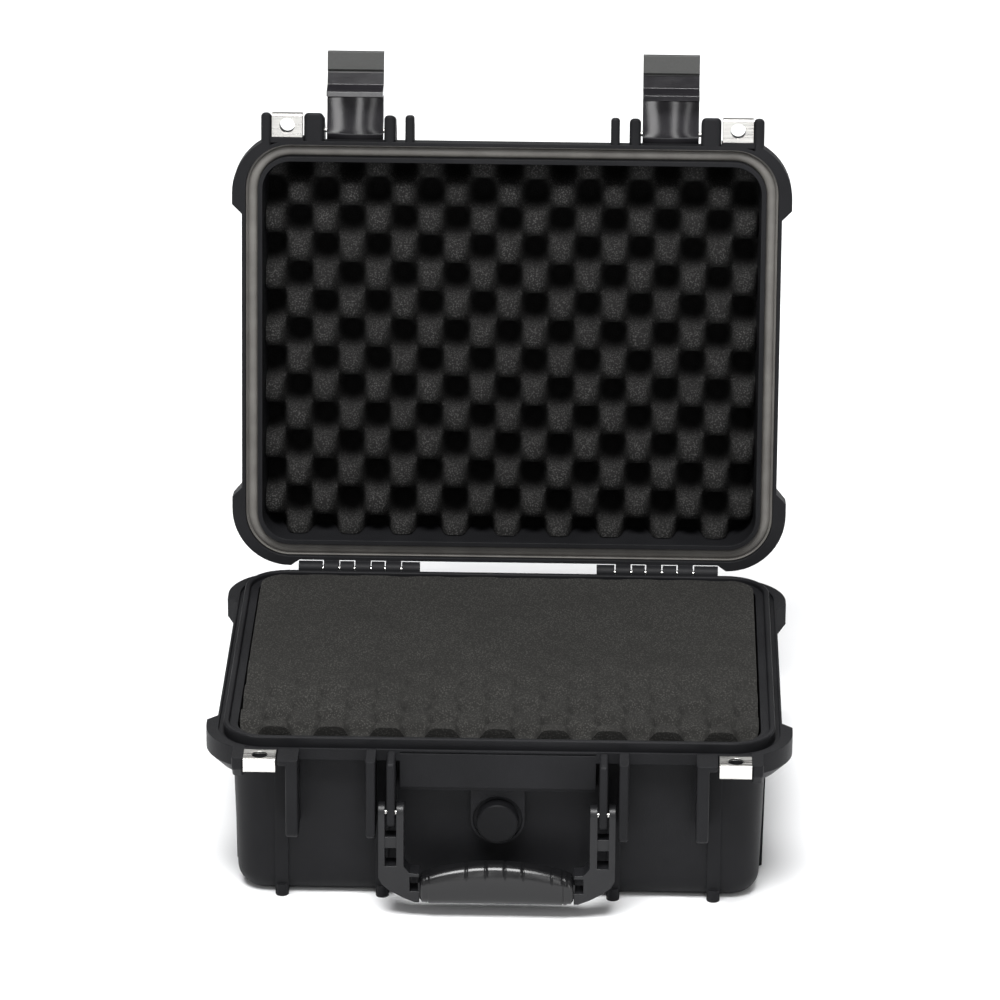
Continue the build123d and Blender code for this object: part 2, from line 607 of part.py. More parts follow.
# ---- pieces that come in a left and a right -------------------------------------------------
hinge_length = sum(width for _, width in KNUCKLES) + KNUCKLE_GAP * (len(KNUCKLES) - 1)
for side, hand in SIDES:
    with BuildPart() as hinge_pin:
        cross_hole(
            side * (HINGE_OUTER_X - hinge_length / 2), hinge_length - 0.6, HINGE_Y, HINGE_Z, HINGE_PIN_R,
            mode=Mode.ADD,
        )
    write_piece(f"hinge_pin_{hand}", hinge_pin, None)

    with BuildPart() as handle_pin:
        pin_x = side * (OUTER_ARM[1] + INNER_ARM[0]) / 2
        cross_hole(pin_x, OUTER_ARM[1] - INNER_ARM[0] - 0.4, HANDLE_Y, HANDLE_Z, HANDLE_PIN_R, mode=Mode.ADD)
    write_piece(f"handle_pin_{hand}", handle_pin, None)

    # the steel clip is a channel folded round the tab, with the padlock's hole through it
    for owner, plate_foot, move in (("base", step_z - PLATE_H, None), ("lid", LID_Z, LID_OPEN)):
        with BuildPart() as padlock_plate:
            x = side * PADLOCK_X
            half = PLATE_W / 2
            block((x - half, x + half), (-PLATE_FRONT_Y, -PLATE_BACK_Y), (plate_foot, plate_foot + PLATE_H))
            fillet(padlock_plate.faces().sort_by(Axis.Y)[0].edges().filter_by(Axis.X), 1.3)
            block(
                (x - half - 1, x + half + 1), (-PLATE_FRONT_Y + PLATE_T, -PLATE_BACK_Y + 1),
                (plate_foot + PLATE_T, plate_foot + PLATE_H - PLATE_T), mode=Mode.SUBTRACT,
            )
            with BuildSketch(Plane.XY.offset(plate_foot - 1)):
                with Locations((x, -PADLOCK_Y)):
                    Circle(PADLOCK_R)
            extrude(amount=PLATE_H + 2, mode=Mode.SUBTRACT)
        write_piece(f"{owner}_padlock_plate_{hand}", padlock_plate, move)

    with BuildPart() as latch_pin:
        pin_end = (GUARD_X + GUARD_W / 2 - 0.5, INNER_GUARD_X - INNER_GUARD_W / 2 + 0.5)
        cross_hole(
            side * sum(pin_end) / 2, pin_end[0] - pin_end[1], LATCH_PIN_Y, LATCH_PIN_Z, LATCH_PIN_R,
            mode=Mode.ADD,
        )
    write_piece(f"latch_pin_{hand}", latch_pin, LID_OPEN)

    # the link: barrel on the lid's pin, curved plate, heel, two cheeks, two lugs for the lever's pin
    # and a lip between the lugs that covers the lever's barrel
    x = side * LATCH_X
    pin_y, pin_z = LATCH_PIN_Y, LATCH_PIN_Z
    low_y, low_z = LEVER_PIN_Y, LEVER_PIN_Z
    plate_foot_z = low_z + 4.8
    face_in = LATCH_FACE_Y + LINK_PLATE_T
    plate = (
        (pin_y, pin_z + LINK_BARREL_R), (LATCH_FACE_Y + 2.5, pin_z + 2), (LATCH_FACE_Y, pin_z - 3),
        (LATCH_FACE_Y, plate_foot_z), (face_in, plate_foot_z), (face_in, pin_z - 7),
        (pin_y + 1, pin_z - LINK_BARREL_R + 0.1), (pin_y, pin_z),
    )
    heel = (
        (pin_y - LINK_BARREL_R, pin_z), (pin_y - LINK_BARREL_R + 1, pin_z + HEEL),
        (pin_y + HEEL_BACK, pin_z + HEEL), (pin_y + HEEL_BACK, pin_z),
    )
    lip = (
        (face_in - 0.5, plate_foot_z + 3), (face_in - 0.5, low_z + 2), (low_y + 1.6, low_z + 2),
        (low_y + 1.6, plate_foot_z + 0.5),
    )
    cheek_y = face_in + CHEEK_DEPTH
    cheek = (
        (face_in - 0.5, plate_foot_z), (face_in - 0.5, pin_z - 4), (pin_y + 1, pin_z - 3),
        (cheek_y, pin_z - 6), (cheek_y, low_z + 2), (face_in, low_z + 2),
    )
    lug = (
        (LATCH_FACE_Y, plate_foot_z + 3), (low_y - LEVER_BARREL_R, low_z),
        (low_y + LEVER_BARREL_R, low_z), (face_in + 1.5, plate_foot_z + 3),
    )
    with BuildPart() as latch_link:
        cross_hole(x, LATCH_W, pin_y, pin_z, LINK_BARREL_R, mode=Mode.ADD)
        upright(x, LATCH_W, plate, 0)
        upright(x, LATCH_W, heel, 0)
        upright(x, LATCH_W - 2 * LUG_W, lip, 0)
        for end in (-1, 1):
            upright(x + end * (LATCH_W - CHEEK_T) / 2, CHEEK_T, cheek, 0)
            lug_x = x + end * (LATCH_W - LUG_W) / 2
            upright(lug_x, LUG_W, lug, 0)
            cross_hole(lug_x, LUG_W, low_y, low_z, LEVER_BARREL_R, mode=Mode.ADD)
        cross_hole(x, LATCH_W + 2, pin_y, pin_z, LATCH_PIN_R + RUNNING)
        cross_hole(x, LATCH_W + 2, low_y, low_z, LEVER_PIN_R)
        cross_hole(x, LATCH_W - 2 * LUG_W, low_y, low_z, LEVER_BARREL_R + BARREL_CLEAR)
    write_piece(f"latch_link_{hand}", latch_link, LID_OPEN * LATCH_OUT)

    with BuildPart() as lever_pin:
        cross_hole(x, LATCH_W - 0.6, low_y, low_z, LEVER_PIN_R, mode=Mode.ADD)
    write_piece(f"lever_pin_{hand}", lever_pin, LID_OPEN * LATCH_OUT)

    # the lever: barrel between the lugs, plate, thumb tab, and the hook that catches the base flange
    lever_in = LATCH_FACE_Y + LEVER_PLATE_T
    shoulder_z = low_z - LEVER_BARREL_R - 0.6
    tab_z = LEVER_END_Z + TAB_END_H
    neck = (
        (LATCH_FACE_Y + 0.4, low_z), (LATCH_FACE_Y, shoulder_z - 1), (lever_in + 2, shoulder_z - 1),
        (low_y + LEVER_BARREL_R - 0.4, low_z),
    )
    hook = (
        (LATCH_FACE_Y, shoulder_z), (lever_in, shoulder_z), (lever_in + 2, HOOK_TOP_Z),
        (HOOK_TIP_Y, HOOK_TOP_Z), (HOOK_TIP_Y, HOOK_TOP_Z - HOOK_T),
        (lever_in + HOOK_SLOPE_OUT, HOOK_TOP_Z - HOOK_SLOPE[1]), (lever_in, HOOK_TOP_Z - HOOK_SLOPE[0]),
        (lever_in, tab_z), (lever_in + 1.6, tab_z - 1.5),
        (lever_in + 0.6, LEVER_END_Z), (LATCH_FACE_Y - 1.2, LEVER_END_Z), (LATCH_FACE_Y, LEVER_END_Z + 8),
    )
    with BuildPart() as latch_lever:
        middle_w = LATCH_W - 2 * LUG_W - 0.8
        cross_hole(x, middle_w, low_y, low_z, LEVER_BARREL_R, mode=Mode.ADD)
        upright(x, middle_w, neck, 0)
        upright(x, LATCH_W, hook, 0)
        cross_hole(x, LATCH_W, low_y, low_z, LEVER_PIN_R + RUNNING)
    write_piece(f"latch_lever_{hand}", latch_lever, LID_OPEN * LATCH_OUT)
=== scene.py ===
"""Looks of the hard equipment case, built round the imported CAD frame.

Metres, in the CAD's own frame. The shapes of the pieces are worked out in millimetres.
"""
import json
import math

import bpy
from mathutils import Matrix, Vector, noise


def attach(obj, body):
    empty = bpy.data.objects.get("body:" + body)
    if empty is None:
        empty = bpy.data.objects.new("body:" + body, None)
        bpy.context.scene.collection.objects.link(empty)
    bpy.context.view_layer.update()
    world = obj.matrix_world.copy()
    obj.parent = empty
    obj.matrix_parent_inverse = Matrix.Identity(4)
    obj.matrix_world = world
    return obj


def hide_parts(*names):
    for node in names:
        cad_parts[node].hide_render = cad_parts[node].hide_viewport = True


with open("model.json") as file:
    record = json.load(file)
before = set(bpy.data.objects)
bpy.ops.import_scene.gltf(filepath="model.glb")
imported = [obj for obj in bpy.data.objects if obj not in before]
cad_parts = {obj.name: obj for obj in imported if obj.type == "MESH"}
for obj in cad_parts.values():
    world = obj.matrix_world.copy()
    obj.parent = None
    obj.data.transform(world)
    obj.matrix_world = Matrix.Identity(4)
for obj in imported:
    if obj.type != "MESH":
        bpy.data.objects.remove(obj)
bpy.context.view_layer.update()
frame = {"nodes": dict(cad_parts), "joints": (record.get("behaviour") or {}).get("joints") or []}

MM = 0.001
scene = bpy.context.scene
scene.view_settings.view_transform = "Standard"


# ---- the lid's own frame ---------------------------------------------------------------------
def turn_about(centre, angle):
    """A turn about the line along X through a point."""
    return Matrix.Translation(centre) @ Matrix.Rotation(angle, 4, "X") @ Matrix.Translation(-centre)


# The lid is described shut, over the base, and carried to where it rests by the lid hinge.
joints = {joint["name"]: joint for joint in frame["joints"]}
LID_ANGLE = math.radians(joints["lid_hinge"]["range_deg"][1])
OPEN = turn_about(Vector(joints["lid_hinge"]["pos_m"]), -LID_ANGLE)
SHUT = OPEN.inverted()


def box_mm(node, matrix=None):
    """Lowest and highest corner of a CAD node in mm, seen through a matrix."""
    points = [(matrix @ v.co if matrix else v.co) for v in frame["nodes"][node].data.vertices]
    low = [min(p[i] for p in points) * 1000 for i in range(3)]
    high = [max(p[i] for p in points) * 1000 for i in range(3)]
    return low, high


# ---- material nodes --------------------------------------------------------------------------
class Tree:
    """A material with a short way to add and join nodes. A value is a socket, a colour or a number."""

    SPREAD = (0.3, 0.75)  # the part of its range that a noise fills

    def __init__(self, name):
        self.material = bpy.data.materials.new(name)
        self.material.use_nodes = True
        self.nodes = self.material.node_tree.nodes
        self.links = self.material.node_tree.links
        self.shader = self.nodes["Principled BSDF"]
        self.where = self.nodes.new("ShaderNodeTexCoord").outputs["Object"]

    def put(self, socket, value):
        if isinstance(value, bpy.types.NodeSocket):
            self.links.new(value, socket)
        elif isinstance(value, tuple):
            socket.default_value = (*value, 1)
        else:
            socket.default_value = value

    def noise(self, scale, detail=3.0, rough=0.55, stretch=None):
        node = self.nodes.new("ShaderNodeTexNoise")
        node.inputs["Scale"].default_value = scale
        node.inputs["Detail"].default_value = detail
        node.inputs["Roughness"].default_value = rough
        where = self.where
        if stretch:
            mapping = self.nodes.new("ShaderNodeMapping")
            mapping.inputs["Scale"].default_value = stretch
            self.put(mapping.inputs["Vector"], where)
            where = mapping.outputs["Vector"]
        self.put(node.inputs["Vector"], where)
        return node.outputs["Fac"]

    def cells(self, scale):
        node = self.nodes.new("ShaderNodeTexVoronoi")
        node.inputs["Scale"].default_value = scale
        self.put(node.inputs["Vector"], self.where)
        return node.outputs["Distance"]

    def ramp(self, source, *stops):
        """A grey ramp: stops are (position, grey)."""
        node = self.nodes.new("ShaderNodeValToRGB")
        for element, (position, grey) in zip(node.color_ramp.elements, stops):
            element.position = position
            element.color = (grey, grey, grey, 1)
        self.put(node.inputs["Fac"], source)
        return node.outputs["Color"]

    def spread(self, source, low=0.0, high=1.0):
        """From low to high over the range that a noise fills."""
        return self.ramp(source, (self.SPREAD[0], low), (self.SPREAD[1], high))

    def mix(self, factor, one, two):
        node = self.nodes.new("ShaderNodeMix")
        node.data_type = "RGBA"
        for socket, value in zip((node.inputs[0], node.inputs[6], node.inputs[7]), (factor, one, two)):
            self.put(socket, value)
        return node.outputs[2]

    def dot(self, one):
        """A node that takes the dot product of a vector and what its second input is given."""
        node = self.nodes.new("ShaderNodeVectorMath")
        node.operation = "DOT_PRODUCT"
        self.put(node.inputs[0], one)
        return node

    def along(self, direction, start, end):
        """0 before start and 1 past end, measured in metres along a direction at rest."""
        dot = self.dot(self.where)
        dot.inputs[1].default_value = direction
        node = self.nodes.new("ShaderNodeMapRange")
        node.inputs["From Min"].default_value = start
        node.inputs["From Max"].default_value = end
        self.put(node.inputs["Value"], dot.outputs["Value"])
        return node.outputs["Result"]

    def math(self, operation, one, two):
        node = self.nodes.new("ShaderNodeMath")
        node.operation = operation
        self.put(node.inputs[0], one)
        self.put(node.inputs[1], two)
        return node.outputs[0]

    def rounding(self, radius):
        """A normal that turns softly round the edges."""
        node = self.nodes.new("ShaderNodeBevel")
        node.samples = 4
        node.inputs["Radius"].default_value = radius
        return node.outputs["Normal"]

    def edges(self, radius):
        """0 on flat faces, rising to 1 at sharp edges."""
        dot = self.dot(self.rounding(radius))
        self.put(dot.inputs[1], self.nodes.new("ShaderNodeNewGeometry").outputs["Normal"])
        return self.math("SUBTRACT", 1.0, dot.outputs["Value"])

    def bump(self, height, strength, distance, normal=None):
        node = self.nodes.new("ShaderNodeBump")
        node.inputs["Strength"].default_value = strength
        node.inputs["Distance"].default_value = distance
        self.put(node.inputs["Height"], height)
        if normal:
            self.put(node.inputs["Normal"], normal)
        return node.outputs["Normal"]

    def finish(self, colour, roughness, normal=None, **fixed):
        self.put(self.shader.inputs["Base Color"], colour)
        self.put(self.shader.inputs["Roughness"], roughness)
        if normal:
            self.put(self.shader.inputs["Normal"], normal)
        for name, value in fixed.items():
            self.shader.inputs[name.replace("_", " ")].default_value = value
        return self.material


def shaded(colour, factor):
    return tuple(factor * c for c in colour)


# ---- plastics, steel, rubber and foam --------------------------------------------------------
CASE_DARK, CASE_LIGHT = (0.0078, 0.0079, 0.0088), (0.0118, 0.0119, 0.0132)
CASE_RUBBED = (0.022, 0.0225, 0.025)
LATCH_DARK, LATCH_LIGHT = (0.010, 0.0095, 0.011), (0.015, 0.0142, 0.0165)
THUMB_DARK, THUMB_LIGHT = (0.020, 0.0205, 0.0195), (0.038, 0.0385, 0.0365)
THUMB_START, THUMB_END = 0.4036, 0.4044  # height at rest over which the latch's polish gives way to grain
STEEL_DARK, STEEL_LIGHT, STEEL_SMUDGE = (0.56, 0.55, 0.53), (0.74, 0.73, 0.70), (0.42, 0.41, 0.40)
BASE_FRONT_PAINTED_SHADE = (-0.0004, 0.0009)  # where the painted shade on the base foam's front cut gives way to its top, from its front
LID_VALLEY_PAINTED_SHADE = (-0.158, -0.135)  # painted shade in the lid foam's valleys, from their bottoms outwards, the way the lid faces


def case_plastic(name, low, high, level, shade=1.0):
    """Black moulding with a fine spark-eroded grain and faint rub marks on its edges. Its roughness goes
    from low to high; shade below 1 darkens its colour as painted shade."""
    t = Tree(name)
    grain = t.noise(1500, 4, 0.65)
    cloud = t.ramp(t.noise(18, 3), (0.35, 0.0), (0.7, 1.0))
    colour = t.mix(cloud, shaded(CASE_DARK, shade), shaded(CASE_LIGHT, shade))
    rub = t.math("MULTIPLY", t.edges(0.0011), t.ramp(t.noise(260, 4), (0.35, 0.2), (0.7, 1.0)))
    colour = t.mix(t.ramp(rub, (0.0, 0.0), (0.35, 0.6)), colour, CASE_RUBBED)
    normal = t.bump(grain, 0.5, 0.0002, t.rounding(0.0007))
    return t.finish(colour, t.spread(grain, low, high), normal, Specular_IOR_Level=level)


def grip_plastic(name, colour, low, high):
    """Smooth black moulding with a soft gloss."""
    t = Tree(name)
    colour = t.mix(t.spread(t.noise(30, 3)), colour, shaded(colour, 1.35))
    rough = t.spread(t.noise(120, 5, 0.6), low, high)
    normal = t.bump(t.noise(900, 3), 0.12, 0.00008, t.rounding(0.0006))
    return t.finish(colour, rough, normal, Specular_IOR_Level=0.4)


def latch_plastic(name):
    """Polished black moulding; the thumb end is grained."""
    t = Tree(name)
    grained = t.along((0, 0, 1), THUMB_START, THUMB_END)
    grain = t.noise(1300, 4, 0.65)
    smooth = t.mix(t.spread(t.noise(30, 3)), LATCH_DARK, LATCH_LIGHT)
    thumb = t.mix(t.spread(grain), THUMB_DARK, THUMB_LIGHT)
    rough = t.mix(grained, t.spread(t.noise(120, 5, 0.6), 0.07, 0.13), t.spread(grain, 0.36, 0.5))
    normal = t.bump(grain, 0.12, 0.00008, t.rounding(0.0005))
    return t.finish(t.mix(grained, smooth, thumb), rough, normal, Specular_IOR_Level=0.62)


def steel(name, stretch, low, high):
    """Brushed steel: the lines run along the stretched axis."""
    t = Tree(name)
    lines = t.noise(700, 4, 0.6, stretch)
    colour = t.mix(t.ramp(lines, (0.3, 0.0), (0.7, 1.0)), STEEL_DARK, STEEL_LIGHT)
    colour = t.mix(t.ramp(t.noise(60, 4), (0.45, 0.0), (0.8, 0.35)), colour, STEEL_SMUDGE)
    normal = t.bump(lines, 0.10, 0.00006, t.rounding(0.0005))
    return t.finish(colour, t.spread(lines, low, high), normal, Metallic=1.0)


def rubber(name, dark, light):
    t = Tree(name)
    grain = t.noise(900, 4)
    colour = t.mix(t.ramp(t.noise(70, 4), (0.35, 0.0), (0.75, 1.0)), dark, light)
    rough = t.ramp(grain, (0.3, 0.5), (0.8, 0.72))
    return t.finish(colour, rough, t.bump(grain, 0.15, 0.0001))


def foam(name, dark, light, shadow):
    """Open-cell foam: mottled cells about a millimetre across. shadow is a direction and the two places
    along it between which painted shade lifts the colour from near black."""
    t = Tree(name)
    pores = t.mix(0.5, t.ramp(t.cells(900), (0.05, 1.0), (0.55, 0.0)), t.noise(1100, 3, 0.7))
    colour = t.mix(t.ramp(pores, (0.32, 0.0), (0.66, 1.0)), dark, light)
    colour = t.mix(t.ramp(t.noise(26, 3), (0.35, 0.0), (0.7, 0.35)), colour, shaded(dark, 0.75))
    # painted shade: near black before the first place along shadow, fading into the foam's colour
    colour = t.mix(t.ramp(t.along(*shadow), (0.0, 0.0), (0.75, 1.0)), shaded(dark, 0.25), colour)
    return t.finish(colour, 0.95, t.bump(pores, 0.7, 0.0006), Specular_IOR_Level=0.1)


CASE = case_plastic("case_plastic_black", 0.42, 0.60, 0.10)
FRAME = case_plastic("frame_plastic_black", 0.26, 0.40, 0.26)
# the case plastic at 0.6 of its colour: painted shade on the valve, which sits in a cup under the panel
VALVE = case_plastic("valve_plastic_black_painted_shade", 0.40, 0.55, 0.08, 0.6)
LATCH = latch_plastic("latch_plastic_black")
GRIP = grip_plastic("grip_plastic_black", (0.0055, 0.0055, 0.006), 0.17, 0.27)
PLATE = steel("steel_sheet", (0.06, 1, 1), 0.22, 0.42)
PIN = steel("steel_ground", (0.05, 1, 1), 0.16, 0.30)
GASKET = rubber("rubber_grey", (0.095, 0.090, 0.083), (0.135, 0.129, 0.120))
SEAL = rubber("rubber_black", (0.018, 0.018, 0.018), (0.030, 0.030, 0.030))
foam_front = box_mm("base_foam_top")[0][1] * MM
lid_facing = (0, -math.sin(LID_ANGLE), -math.cos(LID_ANGLE))
# the base foam, with painted shade along its front cut
FOAM = foam("foam_charcoal", (0.020, 0.0196, 0.0185), (0.057, 0.0555, 0.0520),
            ((0, 1, 0), foam_front + BASE_FRONT_PAINTED_SHADE[0], foam_front + BASE_FRONT_PAINTED_SHADE[1]))
# the lid foam: a darker copy of the same foam, with painted shade in its valleys
LID_FOAM = foam("foam_charcoal_painted_valley_shade", (0.012, 0.0118, 0.0116), (0.058, 0.0570, 0.0555),
                (lid_facing, *LID_VALLEY_PAINTED_SHADE))

# The first word found in a CAD node's name gives its material, and the two shells have none of them.
MATERIALS = (("pin", PIN), ("padlock_plate", PLATE), ("latch", LATCH), ("handle_frame", FRAME),
             ("handle_grip", GRIP), ("lid_gasket", GASKET), ("valve_o_ring", SEAL), ("valve", VALVE),
             ("foam", FOAM))
for node_name, node in frame["nodes"].items():
    node.data.materials.clear()
    node.data.materials.append(next((material for word, material in MATERIALS if word in node_name), CASE))

# ---- mesh helpers ----------------------------------------------------------------------------
CREASE = math.radians(62)  # a sharper turn than this between two faces is an edge


def piece(name, points, faces, body, material, replaced=(), matrix=None):
    """A mesh from points in mm, riding on a body. The matrix carries the lid's pieces to where they rest."""
    mesh = bpy.data.meshes.new(name)
    mesh.from_pydata([Vector(p) * MM for p in points], [], faces)
    if matrix:
        mesh.transform(matrix)
    mesh.validate()
    mesh.polygons.foreach_set("use_smooth", [True] * len(mesh.polygons))
    mesh.set_sharp_from_angle(angle=CREASE)
    mesh.materials.append(material)
    obj = bpy.data.objects.new(name, mesh)
    scene.collection.objects.link(obj)
    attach(obj, body)
    if replaced:
        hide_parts(*replaced)
    return obj


def smoothstep(x):
    x = max(0.0, min(1.0, x))
    return x * x * (3 - 2 * x)


def sheet_faces(rows, columns, first=0, flip=False):
    """The faces of a sheet of points that lie in rows of columns + 1, from the point first on."""
    row = columns + 1
    corners = [first + j * row + k for j in range(rows) for k in range(columns)]
    quads = [(a, a + 1, a + row + 1, a + row) for a in corners]
    return [q[::-1] for q in quads] if flip else quads


def sheet_border(rows, columns):
    """The points on the border of such a sheet, in order."""
    row = columns + 1
    there = list(range(row)) + [j * row + columns for j in range(1, rows + 1)]
    back = [rows * row + k for k in range(columns - 1, -1, -1)] + [j * row for j in range(rows - 1, 0, -1)]
    return there + back


def border_faces(near, far, flip=False):
    """The faces between two closed rings of as many points."""
    quads = [(a, c, d, b) for a, b, c, d in zip(near, near[1:] + near[:1], far, far[1:] + far[:1])]
    return [q[::-1] for q in quads] if flip else quads


def sleeve_faces(count, size, closed):
    """The faces between count rings of size points; closed joins the last ring to the first."""
    return [(a * size + k, a * size + (k + 1) % size, (a + 1) % count * size + (k + 1) % size,
             (a + 1) % count * size + k)
            for a in range(count if closed else count - 1) for k in range(size)]


# ---- foam ------------------------------------------------------------------------------------
FOAM_GAP = 0.2  # between a sheet's edge and its CAD solid's
CORNER_STEPS = 14


def steps(half, corner, spacing):
    """Positions from -half to half, closer together over the rounded corners."""
    flat = half - corner
    inner = max(2, round(2 * flat / spacing))
    arc = [flat + corner * math.sin(math.pi / 2 * k / CORNER_STEPS) for k in range(1, CORNER_STEPS + 1)]
    middle = [-flat + 2 * flat * k / inner for k in range(inner + 1)]
    return [-v for v in reversed(arc)] + middle + arc


def half_width(y, half_x, half_y, corner):
    """Half the width of a rounded rectangle at height y."""
    over = max(0.0, abs(y) - (half_y - corner))
    return half_x - corner + math.sqrt(max(0.0, corner * corner - over * over))


def foam_pad(name, node, body, half, corner, face, other, material=FOAM, matrix=None, spacing=1.7,
             side_in=0.0):
    """A foam sheet in the outline of a rounded rectangle. face(x, y) is the height of its moulded side and
    other the height of its plain side; side_in moves the plain side's outline inwards."""
    ys = steps(half[1], corner, spacing)
    rows, columns = len(ys) - 1, round(2 * half[0] / spacing)
    outline = [(half_width(y, *half, corner) * (2 * k / columns - 1), y)
               for y in ys for k in range(columns + 1)]
    scale_x, scale_y = (half[0] - side_in) / half[0], (half[1] - side_in) / half[1]
    border = sheet_border(rows, columns)
    points = [(x, y, face(x, y)) for x, y in outline]
    far = list(range(len(points), len(points) + len(border)))
    points += [(outline[i][0] * scale_x, outline[i][1] * scale_y, other) for i in border]
    down = face(0, 0) < other
    faces = sheet_faces(rows, columns, flip=down) + border_faces(border, far, flip=down)
    faces.append(tuple(far if down else far[::-1]))
    obj = piece(name, points, faces, body, material, (node,), matrix)


def convolution(x, y, pitch, peak):
    """Egg-crate height from -1 to 1: boxy peaks in a chequerboard, one of them at peak."""
    boxy = 2.5
    across = math.cos(2 * math.pi * (x - peak[0]) / pitch[0])
    back = math.cos(2 * math.pi * (y - peak[1]) / pitch[1])
    return math.tanh(boxy * across * back) / math.tanh(boxy)


def wobble(x, y, seed, size=40.0):
    """Slow unevenness from about -1 to 1, over stretches of about size."""
    return noise.noise(Vector((x / size, y / size, seed)))


lid_low, lid_high = box_mm("lid_foam", SHUT)
LID_HALF = (lid_high[0] - FOAM_GAP, lid_high[1] - FOAM_GAP)
LID_CORNER = 17.0
LID_DEPTH = 25.0  # peak to valley
LID_PITCH = (32.3, 35.6)
LID_PEAK = (-114.7, -78.8)


def lid_face(x, y):
    height = convolution(x + 0.8 * wobble(x, y, 3.1), y + 0.8 * wobble(x, y, 7.7), LID_PITCH, LID_PEAK)
    return lid_low[2] + 0.4 + LID_DEPTH * (0.5 - 0.5 * height) + 0.5 * (1 + wobble(x, y, 1.3, 25))


foam_pad("lid_foam_convoluted", "lid_foam", "lid", LID_HALF, LID_CORNER, lid_face, lid_high[2] - 0.3,
         LID_FOAM, OPEN, side_in=1.5)

base_low, base_high = box_mm("base_foam_top")
BASE_HALF = (base_high[0] - FOAM_GAP, base_high[1] - FOAM_GAP)
BASE_CORNER = 15.5
BASE_DEPTH = 9.0
BASE_PITCH = (32.4, 35.0)
BASE_PEAK = (-97.5, -112.5)
PITS_FROM, PITS_RUN = 20, 140  # the pits deepen forwards from here, over this far
HUMPS_FROM, HUMPS_RUN, HUMPS_RISE = -100, 12, 2.0


def base_face(x, y):
    """Nearly flat at the back, with shallow pits towards the front and humps along the front edge."""
    wave = convolution(x + wobble(x, y, 5.1), y + wobble(x, y, 9.7), BASE_PITCH, BASE_PEAK)
    pit = (0.5 - 0.5 * wave) ** 1.9
    front = smoothstep((PITS_FROM - y) / PITS_RUN)
    hump = smoothstep((HUMPS_FROM - y) / HUMPS_RUN)
    depth = BASE_DEPTH * (0.05 + 0.70 * front + 0.25 * hump)
    return base_high[2] + 0.4 + HUMPS_RISE * hump - depth * pit - 0.4 * (1 + wobble(x, y, 4.3, 30))


foam_pad("base_foam_convoluted", "base_foam_top", "base", BASE_HALF, BASE_CORNER, base_face,
         base_low[2] + 0.1)


def layer(name, node, corner):
    """A plain foam layer whose cut faces are not quite flat."""
    low, high = box_mm(node)
    half = (high[0] - FOAM_GAP, high[1] - FOAM_GAP)

    def face(x, y):
        edge = smoothstep(min(half[0] - abs(x), half[1] - abs(y)) / 5)
        return high[2] - 0.1 - 0.5 * (1 - edge) - 0.25 * (1 + wobble(x, y, 2.2, 30))

    foam_pad(name, node, "base", half, corner, face, low[2] + 0.1, spacing=4.0, side_in=0.8)


layer("base_foam_block_cut", "base_foam_block", 14.5)
layer("base_foam_floor_pad", "base_foam_floor", 13.0)

# ---- gasket ----------------------------------------------------------------------------------
GASKET_CORNER = 27.7
GASKET_WIDTH = 7.4
BEAD_START, BEAD_MARGIN, BEAD_HEIGHT, BEAD_STEPS = 1.55, 0.2, 1.3, 14
QUARTER_STEPS = 16
gasket_low, gasket_high = box_mm("lid_gasket", SHUT)
face_z, back_z = gasket_low[2], gasket_high[2]

# a closed profile of (inset, z) points: a thin outer lip, a trough and one broad bead
bead_width = GASKET_WIDTH - BEAD_START - BEAD_MARGIN
profile = [(0.05, back_z), (0.05, face_z + 0.25), (0.25, face_z), (0.75, face_z), (0.95, face_z + 0.3),
           (1.0, face_z + 1.6), (1.4, face_z + 1.7)]
for k in range(BEAD_STEPS + 1):
    fall = 1 - math.sin(math.pi * k / BEAD_STEPS) ** 0.6
    profile.append((BEAD_START + bead_width * k / BEAD_STEPS, face_z + BEAD_HEIGHT * fall))
profile += [(GASKET_WIDTH, face_z + 1.6), (GASKET_WIDTH, back_z)]

# the profile goes round the rounded rectangle, by its four corners
points = []
for side_x, side_y, start in ((1, 1, 0), (-1, 1, 90), (-1, -1, 180), (1, -1, 270)):
    centre_x, centre_y = side_x * (gasket_high[0] - GASKET_CORNER), side_y * (gasket_high[1] - GASKET_CORNER)
    for k in range(QUARTER_STEPS + 1):
        angle = math.radians(start + 90 * k / QUARTER_STEPS)
        points += [(centre_x + (GASKET_CORNER - inset) * math.cos(angle),
                    centre_y + (GASKET_CORNER - inset) * math.sin(angle), z) for inset, z in profile]
piece("lid_gasket_seal", points, sleeve_faces(len(points) // len(profile), len(profile), closed=True), "lid",
      GASKET, ("lid_gasket",), OPEN)

# ---- grip ------------------------------------------------------------------------------------
GRIP_LINES = (-40.0, -17.5, -6.5, 5.0, 15.5, 32.0, 38.5)  # where its grooves lie
GROOVE_DEPTH, GROOVE_HALF = 0.55, 0.7
CROWN = 7.7  # how much lower the grip is at its ends
COLLAR_FROM = 38  # the grooves past this go all round
COLLAR_STEP, END_ROUND = 40.3, 42.6  # where the collar steps in, and where the end rounds off
GRIP_POINTS = 48
grip_low, grip_high = box_mm("handle_grip")
grip_half = grip_high[0]


